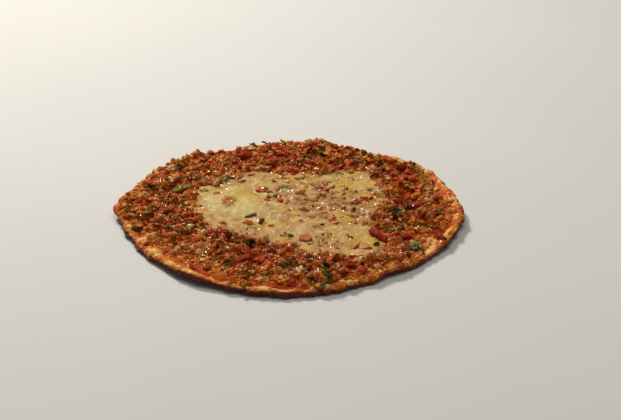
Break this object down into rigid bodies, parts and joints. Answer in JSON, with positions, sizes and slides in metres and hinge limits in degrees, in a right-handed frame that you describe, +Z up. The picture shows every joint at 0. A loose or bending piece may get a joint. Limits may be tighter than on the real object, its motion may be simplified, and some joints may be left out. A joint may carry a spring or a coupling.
{
  "type": "lahmacun",
  "caption": "Thin round flatbread with an uneven raised crust rim, a lumpy minced meat topping, melted cheese over its middle and pieces of pepper, tomato, onion and parsley on top.",
  "frame": {"origin": "centre of the bread's bounding box, on the underside where it lies on a table", "axes": "+Z up out of the topping, +X along the longest width with the small pointed corner of the crust at -X, -Y towards the side where the cheese reaches furthest out"},
  "size_m": [0.2498, 0.2426, 0.0136],
  "materials": {
    "crust": "baked flatbread, golden to orange with pale blisters, charred dark at its lower edge and underside",
    "meat": "browned minced meat in red oil, coarse and moist, with small glints",
    "cheese": "melted pale yellow cheese, partly see-through, smooth and moist",
    "red_pepper": "cooked red pepper, moist skin",
    "tomato": "cooked tomato flesh, soft and moist",
    "green_pepper": "cooked green pepper, olive to pale green, moist",
    "onion": "cooked onion, partly see-through, beige",
    "parsley": "baked parsley, dark green, curled",
    "char": "blackened pepper skin"
  },
  "bodies": {
    "root": {"bread": "crust", "meat_topping": "meat", "cheese": "cheese", "pepper_red_front": "red_pepper", "pepper_red_front_light": "red_pepper", "pepper_red_front_right": "red_pepper", "pepper_red_right": "red_pepper", "pepper_red_right_small": "red_pepper", "pepper_red_strip_right": "red_pepper", "pepper_red_strip_back": "red_pepper", "pepper_red_on_cheese": "red_pepper", "pepper_green_left": "green_pepper", "pepper_pale_right": "green_pepper", "tomato_right": "tomato", "tomato_on_cheese": "tomato", "onion_front_left": "onion", "parsley_sprig": "parsley", "charred_strip_back": "char"}
  },
  "joints": []
}
